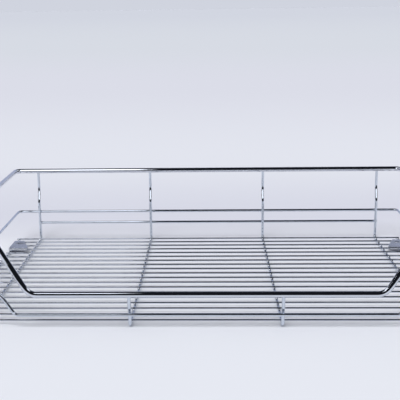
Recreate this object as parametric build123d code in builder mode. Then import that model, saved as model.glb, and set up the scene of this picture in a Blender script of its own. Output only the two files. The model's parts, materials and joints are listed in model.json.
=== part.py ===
from build123d import *
from math import radians, tan
import os

# Pot and pan basket of welded chrome wire.
# Millimetres. +X is right, +Y is back, +Z is up.
# The origin is on the ground, at the middle of the basket.

# Overall size, over the wires
rack_width = 764.0
rack_depth = 480.0
rack_height = 145.5

# Wire diameters
top_wire = 9.0
frame_wire = 5.0
floor_wire = 3.0

# Top rail: bends seen from above, and its lowered front
top_corner_radius = 11.0
top_dip_height = 53.0
top_dip_inset = 126.0
top_dip_angle = 60.0
top_dip_radius = 21.0
top_shoulder_radius = 28.0

# Lower rail: the same kind of loop, in thinner wire
lower_height = 58.8
lower_corner_radius = 9.0
lower_dip_height = 21.3
lower_dip_inset = 104.0
lower_dip_angle = 57.0
lower_dip_radius = 9.0
lower_shoulder_radius = 30.0

# Back guard wire
guard_height = 36.0
guard_overhang = 1.5

# Bearers and posts
shoulder_clearance = 10.0
foot_radius = 7.5
joggle_radius = 30.0
joggle_bottom = 80.0
joggle_top = 104.0
front_joggle_radius = 5.0
front_joggle_gap = 1.2
front_joggle_rise = 9.0

# Floor wires, and the side bearers under their ends
floor_wire_count = 19
floor_edge_gap = 12.5
side_bearer_overhang = 2.5
end_chamfer = 0.3

# Corner brackets, pressed from sheet
bracket_sheet = 1.5
bracket_bend_radius = 1.75
bracket_narrow = 18.0
bracket_wide = 38.0
bracket_corner_radius = 3.0
bracket_clearance = 0.35
slot_length = 14.0
slot_width = 6.5
slot_inset = 13.0
slot_wire_gap = 3.25

# Centre lines of the two rails, whose inner sides are flush
top_x = (rack_width - top_wire) / 2
top_y = (rack_depth - top_wire) / 2
top_z = rack_height - top_wire / 2
lower_x = top_x - (top_wire - frame_wire) / 2
lower_y = top_y - (top_wire - frame_wire) / 2

# Half widths of the lowered fronts, at the foot and at the top of their slopes
top_dip_half = rack_width / 2 - top_dip_inset
top_shoulder_half = top_dip_half + (top_z - top_dip_height) / tan(radians(top_dip_angle))
lower_dip_half = rack_width / 2 - lower_dip_inset
lower_shoulder_half = lower_dip_half + (lower_height - lower_dip_height) / tan(radians(lower_dip_angle))

# The outer bearers stand just outside the bends of the top rail's shoulders.
# The inner bearers share the space between them evenly.
top_shoulder_bend = top_shoulder_radius * tan(radians(top_dip_angle / 2))
outer_bearer_x = top_shoulder_half + top_shoulder_bend + shoulder_clearance
inner_bearer_x = outer_bearer_x / 3

# Posts stand against the inner side of the lower rail
post_x = lower_x - frame_wire
post_y = lower_y - frame_wire

# The floor wires lie on the bearers, at an even pitch
bearer_z = frame_wire / 2
floor_z = frame_wire + floor_wire / 2
floor_half_depth = post_y - floor_edge_gap
floor_gaps = floor_wire_count - 1
floor_pitch = 2 * floor_half_depth / floor_gaps
floor_half_width = lower_x + frame_wire / 2


def floor_wire_y(index):
    # Wire 0 is the one at the back
    return floor_half_depth - index * floor_pitch


def save(piece, name):
    piece.part.label = name
    export_step(piece.part, f"parts/{name}.step")


def wire_start(path):
    # The plane square to the start of a wire
    return Plane(origin=path.line @ 0, z_dir=path.line % 0)


def dipped_rail(
    diameter,
    x,
    y,
    z,
    corner_radius,
    dip_z,
    dip_half,
    shoulder_half,
    dip_radius,
    shoulder_radius,
):
    # A closed rail: half of it is swept from the middle of the back, and mirrored
    with BuildPart() as rail:
        with BuildLine() as path:
            FilletPolyline(
                (0, y, z),
                (x, y, z),
                (x, -y, z),
                (shoulder_half, -y, z),
                (dip_half, -y, dip_z),
                (0, -y, dip_z),
                radius=(corner_radius, corner_radius, shoulder_radius, dip_radius),
            )
        with BuildSketch(wire_start(path)):
            Circle(diameter / 2)
        sweep()
        mirror(about=Plane.YZ)
    return rail


def bearer(x, front_rail_z, front_joggle_low, front_joggle_high, front_radius):
    # One wire: front post, floor run and back post, coped under the top rail at both ends
    with BuildPart() as wire:
        with BuildLine() as path:
            FilletPolyline(
                (x, -top_y, front_rail_z),
                (x, -top_y, front_joggle_high),
                (x, -post_y, front_joggle_low),
                (x, -post_y, bearer_z),
                (x, post_y, bearer_z),
                (x, post_y, joggle_bottom),
                (x, top_y, joggle_top),
                (x, top_y, top_z),
                radius=(
                    front_radius,
                    front_radius,
                    foot_radius,
                    foot_radius,
                    joggle_radius,
                    joggle_radius,
                ),
            )
        with BuildSketch(wire_start(path)):
            Circle(frame_wire / 2)
        sweep()
        add(top_rail.part, mode=Mode.SUBTRACT)
    return wire


def side_stay(side):
    # A post against the side bearer and the lower rail, joggled out under the top rail
    stay_y = floor_wire_y(floor_gaps // 2) + floor_pitch / 2
    with BuildPart() as stay:
        with BuildLine() as path:
            FilletPolyline(
                (side * post_x, stay_y, 0),
                (side * post_x, stay_y, joggle_bottom),
                (side * top_x, stay_y, joggle_top),
                (side * top_x, stay_y, top_z),
                radius=joggle_radius,
            )
        with BuildSketch(wire_start(path)):
            Circle(frame_wire / 2)
        sweep()
        add(top_rail.part, mode=Mode.SUBTRACT)
    return stay


def frame_bar(start, direction, length):
    # A straight frame wire with its cut ends eased
    with BuildPart() as bar:
        with BuildSketch(Plane(origin=start, z_dir=direction)):
            Circle(frame_wire / 2)
        extrude(amount=length)
        chamfer(bar.edges().filter_by(GeomType.CIRCLE), length=end_chamfer)
    return bar


def cross_wire(y):
    # A floor wire, cut off square where it ends over the side bearers
    with BuildPart() as wire:
        with BuildSketch(Plane(origin=(-floor_half_width, y, floor_z), z_dir=(1, 0, 0))):
            Circle(floor_wire / 2)
        extrude(amount=2 * floor_half_width)
    return wire


def corner_bracket():
    # The back right bracket: a pressed saddle over floor wires 1 to 3, narrower at the back
    flange_reach = floor_wire / 2 + bracket_clearance + bracket_sheet / 2
    flange_back = floor_wire_y(1) + flange_reach
    flange_front = floor_wire_y(3) - flange_reach
    flange_bottom = frame_wire + bracket_clearance
    plate_z = frame_wire + floor_wire + bracket_sheet / 2
    edge_back = flange_back + bracket_sheet / 2
    edge_front = flange_front - bracket_sheet / 2
    outer_x = floor_half_width
    slot_y = floor_wire_y(2) + floor_wire / 2 + slot_wire_gap + slot_width / 2
    with BuildPart() as bracket:
        with BuildSketch(Plane.YZ.offset(outer_x - bracket_wide)):
            with BuildLine():
                FilletPolyline(
                    (flange_front, flange_bottom),
                    (flange_front, plate_z),
                    (flange_back, plate_z),
                    (flange_back, flange_bottom),
                    radius=bracket_bend_radius,
                )
            trace(line_width=bracket_sheet)
        extrude(amount=bracket_wide)
        with BuildSketch():
            with BuildLine():
                Polyline(
                    (outer_x, edge_front),
                    (outer_x, edge_back),
                    (outer_x - bracket_narrow, edge_back),
                    (outer_x - bracket_wide, edge_front),
                    close=True,
                )
            outline = make_face()
            fillet(outline.vertices(), radius=bracket_corner_radius)
        extrude(amount=plate_z + bracket_sheet, mode=Mode.INTERSECT)
        with BuildSketch():
            with Locations((outer_x - slot_inset, slot_y)):
                SlotOverall(slot_length, slot_width)
        extrude(amount=plate_z + bracket_sheet, mode=Mode.SUBTRACT)
    return bracket


os.makedirs("parts", exist_ok=True)

top_rail = dipped_rail(
    top_wire,
    top_x,
    top_y,
    top_z,
    top_corner_radius,
    top_dip_height,
    top_dip_half,
    top_shoulder_half,
    top_dip_radius,
    top_shoulder_radius,
)
save(top_rail, "top_rail")

lower_rail = dipped_rail(
    frame_wire,
    lower_x,
    lower_y,
    lower_height,
    lower_corner_radius,
    lower_dip_height,
    lower_dip_half,
    lower_shoulder_half,
    lower_dip_radius,
    lower_shoulder_radius,
)
save(lower_rail, "lower_rail")

# The guard wire lies against the outer side of the four back posts
guard_half = outer_bearer_x + frame_wire / 2 + guard_overhang
back_guard_wire = frame_bar((-guard_half, lower_y, guard_height), (1, 0, 0), 2 * guard_half)
save(back_guard_wire, "back_guard_wire")

# The inner bearers end in short front posts under the lowered front of the top rail
front_joggle_low = lower_dip_height + frame_wire / 2 + front_joggle_gap
front_joggle_high = front_joggle_low + front_joggle_rise
for name, side in (("left", -1), ("right", 1)):
    inner = bearer(
        side * inner_bearer_x,
        top_dip_height,
        front_joggle_low,
        front_joggle_high,
        front_joggle_radius,
    )
    save(inner, f"bearer_inner_{name}")
    outer = bearer(side * outer_bearer_x, top_z, joggle_bottom, joggle_top, joggle_radius)
    save(outer, f"bearer_outer_{name}")
    save(side_stay(side), f"side_stay_{name}")

# Side bearers carry the ends of the floor wires
side_bearer_half = floor_half_depth + floor_wire / 2 + side_bearer_overhang
for name, side in (("left", -1), ("right", 1)):
    side_bearer = frame_bar((side * lower_x, -side_bearer_half, bearer_z), (0, 1, 0), 2 * side_bearer_half)
    save(side_bearer, f"side_bearer_{name}")

for index in range(floor_wire_count):
    save(cross_wire(floor_wire_y(index)), f"floor_wire_{index + 1:02d}")

# One bracket in each corner, as mirror copies
back_right = corner_bracket()
save(back_right, "corner_bracket_back_right")
with BuildPart() as back_left:
    mirror(back_right.part, about=Plane.YZ)
save(back_left, "corner_bracket_back_left")
with BuildPart() as front_right:
    mirror(back_right.part, about=Plane.XZ)
save(front_right, "corner_bracket_front_right")
with BuildPart() as front_left:
    mirror(front_right.part, about=Plane.YZ)
save(front_left, "corner_bracket_front_left")
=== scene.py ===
import json
import math

import bmesh
import bpy
from mathutils import Matrix, Vector


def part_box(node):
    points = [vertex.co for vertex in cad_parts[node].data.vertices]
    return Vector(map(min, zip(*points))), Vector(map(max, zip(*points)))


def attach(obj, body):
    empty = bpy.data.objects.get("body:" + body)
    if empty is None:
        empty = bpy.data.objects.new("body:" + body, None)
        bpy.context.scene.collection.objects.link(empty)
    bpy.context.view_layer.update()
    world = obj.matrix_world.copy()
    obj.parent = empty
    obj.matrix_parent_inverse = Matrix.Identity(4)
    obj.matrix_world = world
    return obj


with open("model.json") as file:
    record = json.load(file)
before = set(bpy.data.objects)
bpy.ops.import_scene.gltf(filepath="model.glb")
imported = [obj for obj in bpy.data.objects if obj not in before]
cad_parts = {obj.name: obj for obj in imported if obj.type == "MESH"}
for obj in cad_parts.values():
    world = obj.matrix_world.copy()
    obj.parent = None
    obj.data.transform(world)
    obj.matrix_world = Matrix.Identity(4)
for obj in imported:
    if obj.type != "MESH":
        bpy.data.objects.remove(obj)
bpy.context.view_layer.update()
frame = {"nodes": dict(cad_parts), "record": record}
nodes = frame["nodes"]
scene = bpy.context.scene
mm = 0.001
print("frame loaded:", len(nodes), "nodes")


# Camera at the photo's viewpoint: a little above the rim, looking slightly down
camera = {
    "place": (5.49 * mm, -1344.87 * mm, 456.96 * mm),
    "yaw": -2.107,
    "pitch": 13.397,  # degrees below the horizon
    "roll": -0.81,
    "lens": 73.61,
    "sensor": 36.0,
    "shift": 0.05,  # the photo is cropped a little off its middle
    "nearest": 0.05,
    "farthest": 400,
}


def buildCamera(spec):
    yaw, pitch, roll = (math.radians(spec[k]) for k in ("yaw", "pitch", "roll"))
    ahead = Vector((math.sin(yaw) * math.cos(pitch), math.cos(yaw) * math.cos(pitch), -math.sin(pitch)))
    level = Vector((math.cos(yaw), -math.sin(yaw), 0))
    upright = level.cross(ahead)
    right = level * math.cos(roll) + upright * math.sin(roll)
    up = upright * math.cos(roll) - level * math.sin(roll)
    data = bpy.data.cameras.new("camera")
    data.lens = spec["lens"]
    data.sensor_width = spec["sensor"]
    data.shift_x = spec["shift"]
    data.clip_start = spec["nearest"]
    data.clip_end = spec["farthest"]
    made = bpy.data.objects.new("camera", data)
    turn = Matrix((right, up, -ahead)).transposed().to_4x4()
    made.matrix_world = Matrix.Translation(spec["place"]) @ turn
    scene.collection.objects.link(made)
    scene.camera = made


buildCamera(camera)
scene.view_settings.view_transform = "Standard"
print("camera set")


# Small helpers for node trees
def newNode(tree, kind, **settings):
    made = tree.nodes.new(kind)
    for name, value in settings.items():
        setattr(made, name, value)
    return made


def mathNode(tree, operation, *values, clamp=False):
    made = newNode(tree, "ShaderNodeMath", operation=operation, use_clamp=clamp)
    for socket, value in zip(made.inputs, values):
        if isinstance(value, (int, float)):
            socket.default_value = value
        else:
            tree.links.new(value, socket)
    return made.outputs[0]


def rangeNode(tree, value, fromLow, fromHigh, smooth=True):
    made = newNode(tree, "ShaderNodeMapRange", interpolation_type="SMOOTHSTEP" if smooth else "LINEAR")
    tree.links.new(value, made.inputs["Value"])
    made.inputs["From Min"].default_value = fromLow
    made.inputs["From Max"].default_value = fromHigh
    return made.outputs["Result"]


def productOf(tree, first, *others):
    for other in others:
        first = mathNode(tree, "MULTIPLY", first, other)
    return first


def mixColour(tree, share, first, second):
    made = newNode(tree, "ShaderNodeMix", data_type="RGBA")
    for title, value in (("Factor", share), ("A", first), ("B", second)):
        if isinstance(value, (int, float, tuple)):
            made.inputs[title].default_value = value
        else:
            tree.links.new(value, made.inputs[title])
    return made.outputs["Result"]


def newGroup(name, inputs, outputs):
    group = bpy.data.node_groups.new(name, "ShaderNodeTree")
    for title, kind, default in inputs:
        socket = group.interface.new_socket(title, in_out="INPUT", socket_type=kind)
        socket.default_value = default
    for title, kind in outputs:
        group.interface.new_socket(title, in_out="OUTPUT", socket_type=kind)
    return group, newNode(group, "NodeGroupInput"), newNode(group, "NodeGroupOutput")


# Bright plating over drawn wire: slow ripples, fine pits and a faint haze
platingNoise = {
    "rippleDetail": 2.0,
    "rippleRoughness": 0.45,
    "pitDetail": 3.0,
    "pitRange": (0.62, 0.74),  # only the peaks of the noise make pits
    "pitRelief": 0.1,
    "pitDulling": 0.2,
    "hazeScale": 34.0,
    "hazeDetail": 4.0,
    "hazeRange": (0.42, 0.7),
    "hazeShade": 0.5,  # share of the shade colour where the haze is thickest
}


def buildPlating(spec):
    group, given, result = newGroup(
        "platedFinish",
        [
            ("Ripple Scale", "NodeSocketFloat", 120.0),
            ("Ripple", "NodeSocketFloat", 0.6),
            ("Pit Scale", "NodeSocketFloat", 2600.0),
            ("Pits", "NodeSocketFloat", 0.3),
            ("Smoothness", "NodeSocketFloat", 0.045),
            ("Haze", "NodeSocketFloat", 0.05),
            ("Metal", "NodeSocketColor", (0.8, 0.81, 0.83, 1)),
            ("Shade", "NodeSocketColor", (0.7, 0.7, 0.72, 1)),
        ],
        [("Colour", "NodeSocketColor"), ("Roughness", "NodeSocketFloat"), ("Height", "NodeSocketFloat")],
    )
    place = newNode(group, "ShaderNodeTexCoord")
    ripple = newNode(group, "ShaderNodeTexNoise", noise_dimensions="3D")
    ripple.inputs["Detail"].default_value = spec["rippleDetail"]
    ripple.inputs["Roughness"].default_value = spec["rippleRoughness"]
    pits = newNode(group, "ShaderNodeTexNoise", noise_dimensions="3D")
    pits.inputs["Detail"].default_value = spec["pitDetail"]
    haze = newNode(group, "ShaderNodeTexNoise", noise_dimensions="3D")
    haze.inputs["Scale"].default_value = spec["hazeScale"]
    haze.inputs["Detail"].default_value = spec["hazeDetail"]
    for texture in (ripple, pits, haze):
        group.links.new(place.outputs["Object"], texture.inputs["Vector"])
    group.links.new(given.outputs["Ripple Scale"], ripple.inputs["Scale"])
    group.links.new(given.outputs["Pit Scale"], pits.inputs["Scale"])
    pitMask = rangeNode(group, pits.outputs["Fac"], *spec["pitRange"])
    hazeMask = rangeNode(group, haze.outputs["Fac"], *spec["hazeRange"])
    rippleHeight = mathNode(group, "MULTIPLY", ripple.outputs["Fac"], given.outputs["Ripple"])
    pitDepth = mathNode(group, "MULTIPLY", pitMask, given.outputs["Pits"])
    pitRelief = mathNode(group, "MULTIPLY", pitDepth, spec["pitRelief"])
    height = mathNode(group, "SUBTRACT", rippleHeight, pitRelief)
    hazeDulling = mathNode(group, "MULTIPLY", hazeMask, given.outputs["Haze"])
    pitDulling = mathNode(group, "MULTIPLY", pitDepth, spec["pitDulling"])
    roughness = mathNode(group, "ADD", given.outputs["Smoothness"], hazeDulling)
    roughness = mathNode(group, "ADD", roughness, pitDulling, clamp=True)
    share = mathNode(group, "MULTIPLY", hazeMask, spec["hazeShade"])
    colour = mixColour(group, share, given.outputs["Metal"], given.outputs["Shade"])
    group.links.new(colour, result.inputs["Colour"])
    group.links.new(roughness, result.inputs["Roughness"])
    group.links.new(height, result.inputs["Height"])
    return group


# Fine lines that the drawing die leaves along a straight wire
drawNoise = {
    "scale": 1.0,  # the stretch alone sets how fine the lines are
    "detail": 1.0,
}


def buildDrawLines(spec):
    group, given, result = newGroup(
        "drawLines",
        [
            ("Stretch", "NodeSocketVector", (6.0, 900.0, 900.0)),
            ("Strength", "NodeSocketFloat", 0.4),
        ],
        [("Height", "NodeSocketFloat")],
    )
    place = newNode(group, "ShaderNodeTexCoord")
    stretched = newNode(group, "ShaderNodeVectorMath", operation="MULTIPLY")
    group.links.new(place.outputs["Object"], stretched.inputs[0])
    group.links.new(given.outputs["Stretch"], stretched.inputs[1])
    lines = newNode(group, "ShaderNodeTexNoise", noise_dimensions="3D")
    lines.inputs["Scale"].default_value = spec["scale"]
    lines.inputs["Detail"].default_value = spec["detail"]
    group.links.new(stretched.outputs[0], lines.inputs["Vector"])
    height = mathNode(group, "MULTIPLY", lines.outputs["Fac"], given.outputs["Strength"])
    group.links.new(height, result.inputs["Height"])
    return group


plating = buildPlating(platingNoise)
drawLines = buildDrawLines(drawNoise)
print("finish groups built")


def chromeMaterial(name, spec):
    made = bpy.data.materials.new(name)
    made.use_nodes = True
    tree = made.node_tree
    shader = tree.nodes["Principled BSDF"]
    shader.inputs["Metallic"].default_value = 1.0
    finish = newNode(tree, "ShaderNodeGroup", node_tree=plating)
    for title, value in spec["finish"].items():
        finish.inputs[title].default_value = value
    tree.links.new(finish.outputs["Colour"], shader.inputs["Base Color"])
    tree.links.new(finish.outputs["Roughness"], shader.inputs["Roughness"])
    height = finish.outputs["Height"]
    if "stretch" in spec:
        lines = newNode(tree, "ShaderNodeGroup", node_tree=drawLines)
        lines.inputs["Stretch"].default_value = spec["stretch"]
        lines.inputs["Strength"].default_value = spec["lines"]
        height = mathNode(tree, "ADD", height, lines.outputs["Height"])
    bump = newNode(tree, "ShaderNodeBump")
    bump.inputs["Strength"].default_value = spec["bump"]
    bump.inputs["Distance"].default_value = spec["depth"]
    tree.links.new(height, bump.inputs["Height"])
    tree.links.new(bump.outputs["Normal"], shader.inputs["Normal"])
    return made


railChrome = {
    "finish": {
        "Ripple Scale": 70.0,
        "Ripple": 0.5,
        "Pit Scale": 2200.0,
        "Pits": 0.2,
        "Smoothness": 0.03,
        "Haze": 0.03,
        "Metal": (0.675, 0.70, 0.755, 1),
        "Shade": (0.62, 0.64, 0.69, 1),
    },
    "bump": 0.25,
    "depth": 0.0004,
}
frameWireChrome = {
    "finish": {
        "Ripple Scale": 110.0,
        "Ripple": 0.6,
        "Pit Scale": 2400.0,
        "Pits": 0.3,
        "Smoothness": 0.05,
        "Haze": 0.05,
        "Metal": (0.655, 0.70, 0.77, 1),
        "Shade": (0.58, 0.62, 0.685, 1),
    },
    "bump": 0.3,
    "depth": 0.0004,
}
# The floor wires' chrome is a darker copy of the same plating: its metal colour is partly painted shade,
# for the shadowed floor under the basket that they mirror
floorWireChromeWithPaintedShade = {
    "finish": {
        "Ripple Scale": 140.0,
        "Ripple": 0.6,
        "Pit Scale": 2800.0,
        "Pits": 0.3,
        "Smoothness": 0.06,
        "Haze": 0.06,
        "Metal": (0.50, 0.525, 0.59, 1),
        "Shade": (0.43, 0.45, 0.50, 1),
    },
    "stretch": (6.0, 1100.0, 1100.0),
    "lines": 0.3,
    "bump": 0.3,
    "depth": 0.0003,
}
sheetChrome = {
    "finish": {
        "Ripple Scale": 160.0,
        "Ripple": 0.8,
        "Pit Scale": 2000.0,
        "Pits": 0.35,
        "Smoothness": 0.26,
        "Haze": 0.08,
        "Metal": (0.52, 0.54, 0.585, 1),
        "Shade": (0.44, 0.455, 0.495, 1),
    },
    "bump": 0.35,
    "depth": 0.0004,
}
weldChrome = {
    "finish": {
        "Ripple Scale": 900.0,
        "Ripple": 0.9,
        "Pit Scale": 3200.0,
        "Pits": 0.8,
        "Smoothness": 0.15,
        "Haze": 0.14,
        "Metal": (0.86, 0.88, 0.92, 1),
        "Shade": (0.80, 0.82, 0.86, 1),
    },
    "bump": 0.5,
    "depth": 0.0003,
}

slotMaterials = {
    "chrome_rail": chromeMaterial("railChrome", railChrome),
    "chrome_frame_wire": chromeMaterial("frameWireChrome", frameWireChrome),
    "chrome_floor_wire": chromeMaterial("floorWireChromeWithPaintedShade", floorWireChromeWithPaintedShade),
    "chrome_sheet": chromeMaterial("sheetChrome", sheetChrome),
}
weldMaterial = chromeMaterial("weldChrome", weldChrome)

for part in frame["record"]["subparts"]:
    for materialSlot in nodes[part["node"]].material_slots:
        materialSlot.material = slotMaterials[part["material_slot"]]
print("chrome on", len(nodes), "nodes")


# Welds: a waisted bead fills the valley where two wires cross
beads = {
    "sides": 12,
    "rings": (  # place between the two wires, depth into a wire, share of the width
        (-1, -1, 0.94),
        (-1, 0, 1),
        (0, 0, 1),
        (1, 0, 1),
        (1, 1, 0.94),
    ),
    "floorReach": 3.0 * mm,
    "frameReach": 2.0 * mm,
    "waist": 0.2,  # how far the bead is drawn in at its middle, as a share of its height there
    "hug": 0.93,  # share of a wire's radius that the bead may reach to the side
    "leastSlant": 0.01,  # along a wire its side sets no limit
    "bury": 0.12 * mm,
    "uneven": 0.07,
    "turn": 2.4,  # radians from one bead's uneven side to the next one's
    "frameWire": 5.0 * mm,
    "floorWire": 3.0 * mm,
}


def addShell(mesh, rings, firstPole, lastPole):
    loops = [[mesh.verts.new(point) for point in ring] for ring in rings]
    count = len(loops[0])
    for below, above in zip(loops, loops[1:]):
        for k in range(count):
            mesh.faces.new((below[k], below[(k + 1) % count], above[(k + 1) % count], above[k]))
    for loop, point in ((loops[0], firstPole), (loops[-1], lastPole)):
        pole = mesh.verts.new(point)
        for k in range(count):
            mesh.faces.new((loop[k], loop[(k + 1) % count], pole))


def rise(radius, aside):
    # how far a round wire's surface falls away from its crest, at this distance to the side
    return radius - math.sqrt(max(radius * radius - aside * aside, 0.0))


def weldPiece(name, mesh):
    bmesh.ops.recalc_face_normals(mesh, faces=mesh.faces)
    data = bpy.data.meshes.new(name)
    mesh.to_mesh(data)
    mesh.free()
    for face in data.polygons:
        face.use_smooth = True
    data.materials.append(weldMaterial)
    piece = bpy.data.objects.new(name, data)
    scene.collection.objects.link(piece)
    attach(piece, "root")


def unevenReach(spec, reach, angle, index):
    return reach * (1 + spec["uneven"] * math.sin(2 * angle + spec["turn"] * index))


def heldReach(spec, reach, radius, slant):
    # neither end of a bead stands out past the side of its wire
    return min(reach, spec["hug"] * radius / max(abs(slant), spec["leastSlant"]))


def crossingBead(mesh, spec, index, spot, normal, along, over, under, reach):
    # over is the radius of the wire on the normal's side, which runs along; under is the other's
    across = normal.cross(along)
    rings = []
    for level, deeper, narrower in spec["rings"]:
        ring = []
        for k in range(spec["sides"]):
            angle = math.tau * k / spec["sides"]
            out = unevenReach(spec, reach, angle, index)
            topOut = heldReach(spec, out, over, math.sin(angle))
            lowOut = heldReach(spec, out, under, math.cos(angle))
            top = rise(over, topOut * math.sin(angle))
            bottom = -rise(under, lowOut * math.cos(angle))
            share = (level + 1) / 2
            height = bottom + (top - bottom) * share + deeper * spec["bury"]
            out = lowOut + (topOut - lowOut) * share - spec["waist"] * (top - bottom) * (1 - level * level)
            out *= narrower
            place = along * (out * math.cos(angle)) + across * (out * math.sin(angle)) + normal * height
            ring.append(spot + place)
        rings.append(ring)
    addShell(mesh, rings, spot - normal * spec["bury"], spot + normal * spec["bury"])


def nodeMiddle(name):
    low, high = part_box(name)
    return (low + high) / 2


bearerNames = ("bearer_outer_left", "bearer_inner_left", "bearer_inner_right", "bearer_outer_right")
sideBearerNames = ("side_bearer_left", "side_bearer_right")
sideStays = (("side_stay_left", -1), ("side_stay_right", 1))
floorWireNames = sorted(name for name in nodes if name.startswith("floor_wire_"))
upright = Vector((0, 0, 1))
rightward = Vector((1, 0, 0))
backward = Vector((0, 1, 0))


def buildFloorWelds(spec):
    mesh = bmesh.new()
    index = 0
    for bearerName in bearerNames + sideBearerNames:
        x = nodeMiddle(bearerName).x
        for wireName in floorWireNames:
            low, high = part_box(wireName)
            spot = Vector((x, (low.y + high.y) / 2, low.z))
            over, under = spec["floorWire"] / 2, spec["frameWire"] / 2
            crossingBead(mesh, spec, index, spot, upright, rightward, over, under, spec["floorReach"])
            index += 1
    weldPiece("floorWelds", mesh)
    return index


def buildFrameWelds(spec):
    mesh = bmesh.new()
    radius = spec["frameWire"] / 2
    railLow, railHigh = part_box("lower_rail")
    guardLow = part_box("back_guard_wire")[0]
    railTop, railDip = railHigh.z - radius, railLow.z + radius
    backContact, frontContact = railHigh.y - 2 * radius, railLow.y + 2 * radius
    spots = []
    for name in bearerNames:
        x = nodeMiddle(name).x
        front = railTop if "outer" in name else railDip
        spots.append((Vector((x, backContact, railTop)), backward, rightward))
        spots.append((Vector((x, backContact, guardLow.z + radius)), backward, rightward))
        spots.append((Vector((x, frontContact, front)), -backward, rightward))
    for name, side in sideStays:
        y = nodeMiddle(name).y
        x = side * (railHigh.x - 2 * radius)
        for z in (railTop, radius):
            spots.append((Vector((x, y, z)), rightward * side, backward))
    for index, (spot, normal, along) in enumerate(spots):
        crossingBead(mesh, spec, index, spot, normal, along, radius, radius, spec["frameReach"])
    weldPiece("frameWelds", mesh)
    return len(spots)


# Collars: the small fillet where an upright ends against the top rail's underside
collars = {
    "sides": 16,
    "rings": (  # share of the way out from the upright, then how far in and up, in lengths of bury
        (0, 1, 0),
        (0, 0.1, 0),
        (0.35, 0, 0),
        (0.7, 0, 0),
        (1, 0, 0),
        (1, 1, 1),
    ),
    "reach": 3.3 * mm,
    "drop": 0.9 * mm,
    "bury": 0.35 * mm,
    "uneven": 0.05,
    "turn": 2.4,
    "topWire": 9.0 * mm,
    "frameWire": 5.0 * mm,
}


def collarBead(mesh, spec, index, spot, along):
    across = upright.cross(along)
    post, rail = spec["frameWire"] / 2, spec["topWire"] / 2
    rings = []
    for share, inward, deeper in spec["rings"]:
        ring = []
        for k in range(spec["sides"]):
            angle = math.tau * k / spec["sides"]
            reach = unevenReach(spec, spec["reach"], angle, index)
            start = rise(rail, post * math.sin(angle)) - spec["drop"]
            end = rise(rail, reach * math.sin(angle))
            out = post + (reach - post) * share**2 - inward * spec["bury"]
            height = start + (end - start) * (1 - (1 - share) ** 2) + deeper * spec["bury"]
            place = along * (out * math.cos(angle)) + across * (out * math.sin(angle)) + upright * height
            ring.append(spot + place)
        rings.append(ring)
    addShell(mesh, rings, spot - upright * spec["drop"], spot + upright * post)


def buildCollars(spec):
    mesh = bmesh.new()
    railLow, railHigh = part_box("top_rail")
    radius = spec["topWire"] / 2
    underside, dipUnderside = railHigh.z - 2 * radius, railLow.z
    spots = []
    for name in bearerNames:
        x = nodeMiddle(name).x
        front = underside if "outer" in name else dipUnderside
        spots.append((Vector((x, railHigh.y - radius, underside)), rightward))
        spots.append((Vector((x, railLow.y + radius, front)), rightward))
    for name, side in sideStays:
        spots.append((Vector((side * (railHigh.x - radius), nodeMiddle(name).y, underside)), backward))
    for index, (spot, along) in enumerate(spots):
        collarBead(mesh, spec, index, spot, along)
    weldPiece("railCollars", mesh)
    return len(spots)


# Shallow dents that the spot welder leaves on a bracket, over the wires below
dents = {
    "sides": 20,
    "reach": 2.1 * mm,
    "lip": 0.10 * mm,
    "rings": ((1.0, -1), (0.9, 1), (0.6, 0.4)),  # share of the reach, and height in lips
    "root": 4,  # depth of its hidden underside, in lips
    "middle": 0.2,  # height of its middle, in lips
    "places": (  # floor wires in from the last one, distance in from the bracket's outer edge
        (1, 9.0 * mm),
        (3, 10.0 * mm),
        (3, 27.0 * mm),
    ),
}


def buildBracketDents(spec):
    mesh = bmesh.new()
    turns = [math.tau * k / spec["sides"] for k in range(spec["sides"])]
    made = 0
    for name in (n for n in nodes if n.startswith("corner_bracket_")):
        low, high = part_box(name)
        sideX = 1 if high.x > 0 else -1
        atBack = high.y > 0
        outerX = high.x if sideX > 0 else low.x
        for order, inward in spec["places"]:
            wireName = floorWireNames[order] if atBack else floorWireNames[-1 - order]
            spot = Vector((outerX - sideX * inward, nodeMiddle(wireName).y, high.z))
            rings = []
            for share, lips in spec["rings"]:
                out = spec["reach"] * share
                height = lips * spec["lip"]
                rings.append([spot + Vector((out * math.cos(a), out * math.sin(a), height)) for a in turns])
            root = spot - upright * (spec["root"] * spec["lip"])
            middle = spot + upright * (spec["middle"] * spec["lip"])
            addShell(mesh, rings, root, middle)
            made += 1
    weldPiece("bracketDents", mesh)
    return made


weldCount = buildFloorWelds(beads) + buildFrameWelds(beads)
print("welds:", weldCount, "collars:", buildCollars(collars), "dents:", buildBracketDents(dents))


# Studio floor: one wide pale sheet, with painted light under the basket and a painted shadow, a shade
# deeper, just behind it
studioFloor = {
    "radius": 90.0,
    "sides": 96,
    "drop": 0.4 * mm,  # keeps it clear of the feet
    "roughness": 0.9,
    "bands": (  # distance behind the basket in metres, and the tone there; the far tones are the plain backdrop
        (-1.2, (0.775, 0.800, 0.871)),
        (-0.3, (0.780, 0.803, 0.875)),
        # painted light: the sheet is lighter under the basket, to make up for the basket's own shadow there
        (-0.1, (0.800, 0.822, 0.888)),
        (0.17, (0.800, 0.818, 0.885)),
        # painted shadow: a darker band just behind the basket
        (0.29, (0.700, 0.715, 0.800)),
        (0.42, (0.665, 0.680, 0.775)),
        (1.1, (0.745, 0.765, 0.840)),
        (3.4, (0.694, 0.708, 0.791)),
        (8.2, (0.665, 0.694, 0.761)),
        (40.0, (0.631, 0.658, 0.737)),
    ),
    "logOrigin": 1.6,  # metres in front of the middle, where the logarithmic distance starts
    "logLeast": 0.2,
    "bendRadius": 0.8,
    "bendFade": (1.9, 4.0),  # metres from the middle, over which the bands turn into rings
    "frontEdge": (-0.66, -0.84),
    "sideEdge": (0.85, 1.10),
    "widening": 0.6,  # how much farther out the sides end, for each metre back
    "beyond": (0.015, 0.016, 0.02, 1),
}


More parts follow.
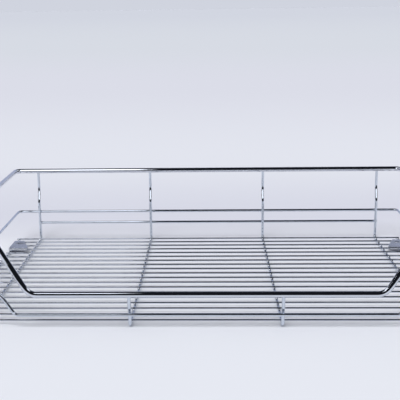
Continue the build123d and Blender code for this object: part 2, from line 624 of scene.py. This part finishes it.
def rampOf(tree, value, low, high, stops):
    ramp = newNode(tree, "ShaderNodeValToRGB")
    ramp.color_ramp.interpolation = "EASE"
    elements = ramp.color_ramp.elements
    while len(elements) > 1:
        elements.remove(elements[-1])
    for index, (where, tone) in enumerate(stops):
        position = (where - low) / (high - low)
        element = elements[0] if index == 0 else elements.new(position)
        element.position = position
        element.color = (*tone, 1)
    tree.links.new(rangeNode(tree, value, low, high, smooth=False), ramp.inputs["Fac"])
    return ramp.outputs["Color"]


def newStudioPiece(name, mesh, material):
    data = bpy.data.meshes.new(name)
    mesh.to_mesh(data)
    mesh.free()
    data.materials.append(material)
    made = bpy.data.objects.new(name, data)
    scene.collection.objects.link(made)
    return made


def paperMaterial(spec):
    paper = bpy.data.materials.new("palePaper")
    paper.use_nodes = True
    tree = paper.node_tree
    shader = tree.nodes["Principled BSDF"]
    shader.inputs["Roughness"].default_value = spec["roughness"]
    shader.inputs["Specular IOR Level"].default_value = 0.0
    place = newNode(tree, "ShaderNodeTexCoord")
    split = newNode(tree, "ShaderNodeSeparateXYZ")
    tree.links.new(place.outputs["Object"], split.inputs[0])
    # far away the bands bend round the basket, so the horizon has one tone on all sides
    around = newNode(tree, "ShaderNodeVectorMath", operation="LENGTH")
    tree.links.new(place.outputs["Object"], around.inputs[0])
    distance = around.outputs["Value"]
    beyondRing = mathNode(tree, "SUBTRACT", distance, spec["bendRadius"])
    extra = mathNode(tree, "MAXIMUM", mathNode(tree, "SUBTRACT", beyondRing, split.outputs["Y"]), 0.0)
    extra = mathNode(tree, "MULTIPLY", extra, rangeNode(tree, distance, *spec["bendFade"]))
    away = mathNode(tree, "ADD", split.outputs["Y"], extra)
    # a logarithmic distance keeps the near bands as fine as the far ones
    shifted = mathNode(tree, "ADD", away, spec["logOrigin"])
    logged = mathNode(tree, "LOGARITHM", mathNode(tree, "MAXIMUM", shifted, spec["logLeast"]), math.e)
    stops = [(math.log(where + spec["logOrigin"]), tone) for where, tone in spec["bands"]]
    tone = rampOf(tree, logged, stops[0][0], stops[-1][0], stops)
    # in reflections alone, the sheet ends in front of the basket and at its sides
    path = newNode(tree, "ShaderNodeLightPath")
    beyondFront = rangeNode(tree, split.outputs["Y"], *spec["frontEdge"])
    behind = mathNode(tree, "MAXIMUM", split.outputs["Y"], 0.0)
    widening = mathNode(tree, "MULTIPLY", behind, spec["widening"])
    aside = mathNode(tree, "SUBTRACT", mathNode(tree, "ABSOLUTE", split.outputs["X"]), widening)
    beyondSide = rangeNode(tree, aside, *spec["sideEdge"])
    beyond = mathNode(tree, "MAXIMUM", beyondFront, beyondSide)
    mirrored = mathNode(tree, "MULTIPLY", beyond, path.outputs["Is Glossy Ray"])
    tone = mixColour(tree, mirrored, tone, spec["beyond"])
    tree.links.new(tone, shader.inputs["Base Color"])
    return paper


def buildFloor(spec):
    mesh = bmesh.new()
    bmesh.ops.create_circle(mesh, cap_ends=True, segments=spec["sides"], radius=spec["radius"])
    floor = newStudioPiece("studioFloor", mesh, paperMaterial(spec))
    floor.location.z = -spec["drop"]


# The room as the chrome mirrors it: dark in front and overhead, pale behind
room = {
    "dark": (0.010, 0.011, 0.015),
    "tones": (  # share of the way from the front horizon, over the top, to the back horizon
        (0.0, (0.010, 0.011, 0.015)),
        (0.74, (0.009, 0.010, 0.015)),
        (0.82, (0.24, 0.26, 0.33)),
        (0.89, (0.46, 0.50, 0.65)),
        (1.0, (0.64, 0.67, 0.79)),
    ),
    "backdropEdge": (0.58, 0.86),
    "fill": 0.60,
}

# Two low windows, one each side of the camera
windows = {
    "inner": (0.24, 0.29),  # radians from straight ahead
    "outer": (0.80, 0.68),
    "sill": (0.10, 0.13),
    "head": (0.25, 0.21),
    "climb": 0.22,  # how much higher they stand for each radian out
    "colour": (4.6, 4.7, 4.9, 1),
}

# Two high soft lights at the sides, which the ends of the basket mirror
sideLights = {
    "near": (0.50, 0.56),
    "far": (0.86, 0.80),
    "rear": (-0.30, -0.20),
    "lift": (0.38, 0.44),
    "colour": (1.1, 1.13, 1.2, 1),
}


def buildWorld(spec, panes, hoods, seenTone):
    world = bpy.data.worlds.new("studioAir")
    scene.world = world
    world.use_nodes = True
    tree = world.node_tree
    tree.nodes.clear()
    place = newNode(tree, "ShaderNodeTexCoord")
    split = newNode(tree, "ShaderNodeSeparateXYZ")
    tree.links.new(place.outputs["Generated"], split.inputs[0])
    front = mathNode(tree, "MULTIPLY", split.outputs["Y"], -1.0)
    over = mathNode(tree, "DIVIDE", mathNode(tree, "ARCTAN2", split.outputs["Z"], front), math.pi)
    tone = rampOf(tree, over, 0.0, 1.0, spec["tones"])
    # the pale backdrop is only as wide as the sheet behind the basket
    behind = rangeNode(tree, split.outputs["Y"], *spec["backdropEdge"])
    tone = mixColour(tree, behind, (*spec["dark"], 1), tone)
    # windows
    turn = mathNode(tree, "ABSOLUTE", mathNode(tree, "ARCTAN2", split.outputs["X"], front))
    climbed = mathNode(tree, "MULTIPLY", turn, panes["climb"])
    height = mathNode(tree, "SUBTRACT", split.outputs["Z"], climbed)
    pane = productOf(
        tree,
        rangeNode(tree, turn, *panes["inner"]),
        rangeNode(tree, turn, *panes["outer"]),
        rangeNode(tree, height, *panes["sill"]),
        rangeNode(tree, height, *panes["head"]),
    )
    tone = mixColour(tree, pane, tone, panes["colour"])
    # side lights
    aside = mathNode(tree, "ABSOLUTE", split.outputs["X"])
    hood = productOf(
        tree,
        rangeNode(tree, aside, *hoods["near"]),
        rangeNode(tree, aside, *hoods["far"]),
        rangeNode(tree, split.outputs["Y"], *hoods["rear"]),
        rangeNode(tree, split.outputs["Z"], *hoods["lift"]),
    )
    tone = mixColour(tree, hood, tone, hoods["colour"])
    # the camera sees the far floor's tone, reflections see the room, and the rest is an even fill
    path = newNode(tree, "ShaderNodeLightPath")
    seen = newNode(tree, "ShaderNodeBackground")
    seen.inputs["Color"].default_value = (*seenTone, 1)
    mirrored = newNode(tree, "ShaderNodeBackground")
    tree.links.new(tone, mirrored.inputs["Color"])
    fill = newNode(tree, "ShaderNodeBackground")
    fill.inputs["Color"].default_value = (1, 1, 1, 1)
    fill.inputs["Strength"].default_value = spec["fill"]
    unseen = newNode(tree, "ShaderNodeMixShader")
    tree.links.new(path.outputs["Is Glossy Ray"], unseen.inputs[0])
    tree.links.new(fill.outputs[0], unseen.inputs[1])
    tree.links.new(mirrored.outputs[0], unseen.inputs[2])
    air = newNode(tree, "ShaderNodeMixShader")
    tree.links.new(path.outputs["Is Camera Ray"], air.inputs[0])
    tree.links.new(unseen.outputs[0], air.inputs[1])
    tree.links.new(seen.outputs[0], air.inputs[2])
    out = newNode(tree, "ShaderNodeOutputWorld")
    tree.links.new(air.outputs[0], out.inputs["Surface"])


# The soft light over the camera's left shoulder, as the wires mirror it
softBox = {
    "left": -1.50,
    "right": -0.130,
    "full": -0.215,  # the glow is even from here to the left end
    "lean": 0.072,  # how far its right edge goes left, for each metre up
    "low": (-0.50, 0.55),  # Y and Z of the lower edge
    "high": (-1.10, 3.00),
    "edge": 0.05,
    "radiance": 3.4,
    "tint": (0.985, 1.0, 1.04, 1),
}


def glowMaterial(spec):
    glow = bpy.data.materials.new("softGlow")
    glow.use_nodes = True
    tree = glow.node_tree
    tree.nodes.clear()
    place = newNode(tree, "ShaderNodeTexCoord")
    split = newNode(tree, "ShaderNodeSeparateXYZ")
    tree.links.new(place.outputs["Object"], split.inputs[0])
    lowest, highest = spec["low"][1], spec["high"][1]
    above = mathNode(tree, "SUBTRACT", split.outputs["Z"], lowest)
    leaning = mathNode(tree, "ADD", split.outputs["X"], mathNode(tree, "MULTIPLY", above, spec["lean"]))
    mask = productOf(
        tree,
        rangeNode(tree, leaning, spec["right"], spec["full"], smooth=False),
        rangeNode(tree, split.outputs["Z"], lowest, lowest + spec["edge"]),
        rangeNode(tree, split.outputs["Z"], highest, highest - spec["edge"]),
    )
    lamp = newNode(tree, "ShaderNodeEmission")
    lamp.inputs["Color"].default_value = spec["tint"]
    tree.links.new(mathNode(tree, "MULTIPLY", mask, spec["radiance"]), lamp.inputs["Strength"])
    clear = newNode(tree, "ShaderNodeBsdfTransparent")
    cover = newNode(tree, "ShaderNodeMixShader")
    tree.links.new(mask, cover.inputs[0])
    tree.links.new(clear.outputs[0], cover.inputs[1])
    tree.links.new(lamp.outputs[0], cover.inputs[2])
    out = newNode(tree, "ShaderNodeOutputMaterial")
    tree.links.new(cover.outputs[0], out.inputs["Surface"])
    return glow


def showInMirrorsOnly(piece):
    piece.visible_camera = False
    piece.visible_diffuse = False
    piece.visible_shadow = False


def buildSoftBox(spec):
    mesh = bmesh.new()
    corners = []
    for x, edge in (("left", "low"), ("right", "low"), ("right", "high"), ("left", "high")):
        corners.append(mesh.verts.new((spec[x], *spec[edge])))
    mesh.faces.new(corners)
    card = newStudioPiece("softBox", mesh, glowMaterial(spec))
    showInMirrorsOnly(card)


# Two small black flags keep the windows out of the bends at the foot of the lowered front
flags = {
    "inner": 0.185,
    "outer": 0.300,
    "front": -0.272,  # Y of the cards, close in front of the rails
    "low": 0.0545,
    "high": 0.092,
}


def feltMaterial(dark):
    felt = bpy.data.materials.new("blackFelt")
    felt.use_nodes = True
    tree = felt.node_tree
    tree.nodes.clear()
    lamp = newNode(tree, "ShaderNodeEmission")
    lamp.inputs["Color"].default_value = (*dark, 1)
    out = newNode(tree, "ShaderNodeOutputMaterial")
    tree.links.new(lamp.outputs[0], out.inputs["Surface"])
    return felt


def buildFlags(spec, dark):
    mesh = bmesh.new()
    for side in (-1, 1):
        corners = []
        for across, up in (("inner", "low"), ("outer", "low"), ("outer", "high"), ("inner", "high")):
            corners.append(mesh.verts.new((side * spec[across], spec["front"], spec[up])))
        mesh.faces.new(corners)
    cards = newStudioPiece("blackFlags", mesh, feltMaterial(dark))
    showInMirrorsOnly(cards)


# The broad light that gives the floor its soft shadow
keyLight = {
    "strength": 1.58,
    "size": 24.0,  # degrees across
    "elevation": 57.0,
    "azimuth": -22.0,
}


def buildKey(spec):
    data = bpy.data.lights.new("keyLight", "SUN")
    data.energy = spec["strength"]
    data.angle = math.radians(spec["size"])
    key = bpy.data.objects.new("keyLight", data)
    up, aside = math.radians(spec["elevation"]), math.radians(spec["azimuth"])
    towards = Vector((math.sin(aside) * math.cos(up), -math.cos(aside) * math.cos(up), math.sin(up)))
    key.rotation_mode = "QUATERNION"
    key.rotation_quaternion = towards.to_track_quat("Z", "Y")
    key.visible_glossy = False
    scene.collection.objects.link(key)


buildFloor(studioFloor)
buildWorld(room, windows, sideLights, studioFloor["bands"][-1][1])
buildSoftBox(softBox)
buildFlags(flags, room["dark"])
buildKey(keyLight)
print("studio set")
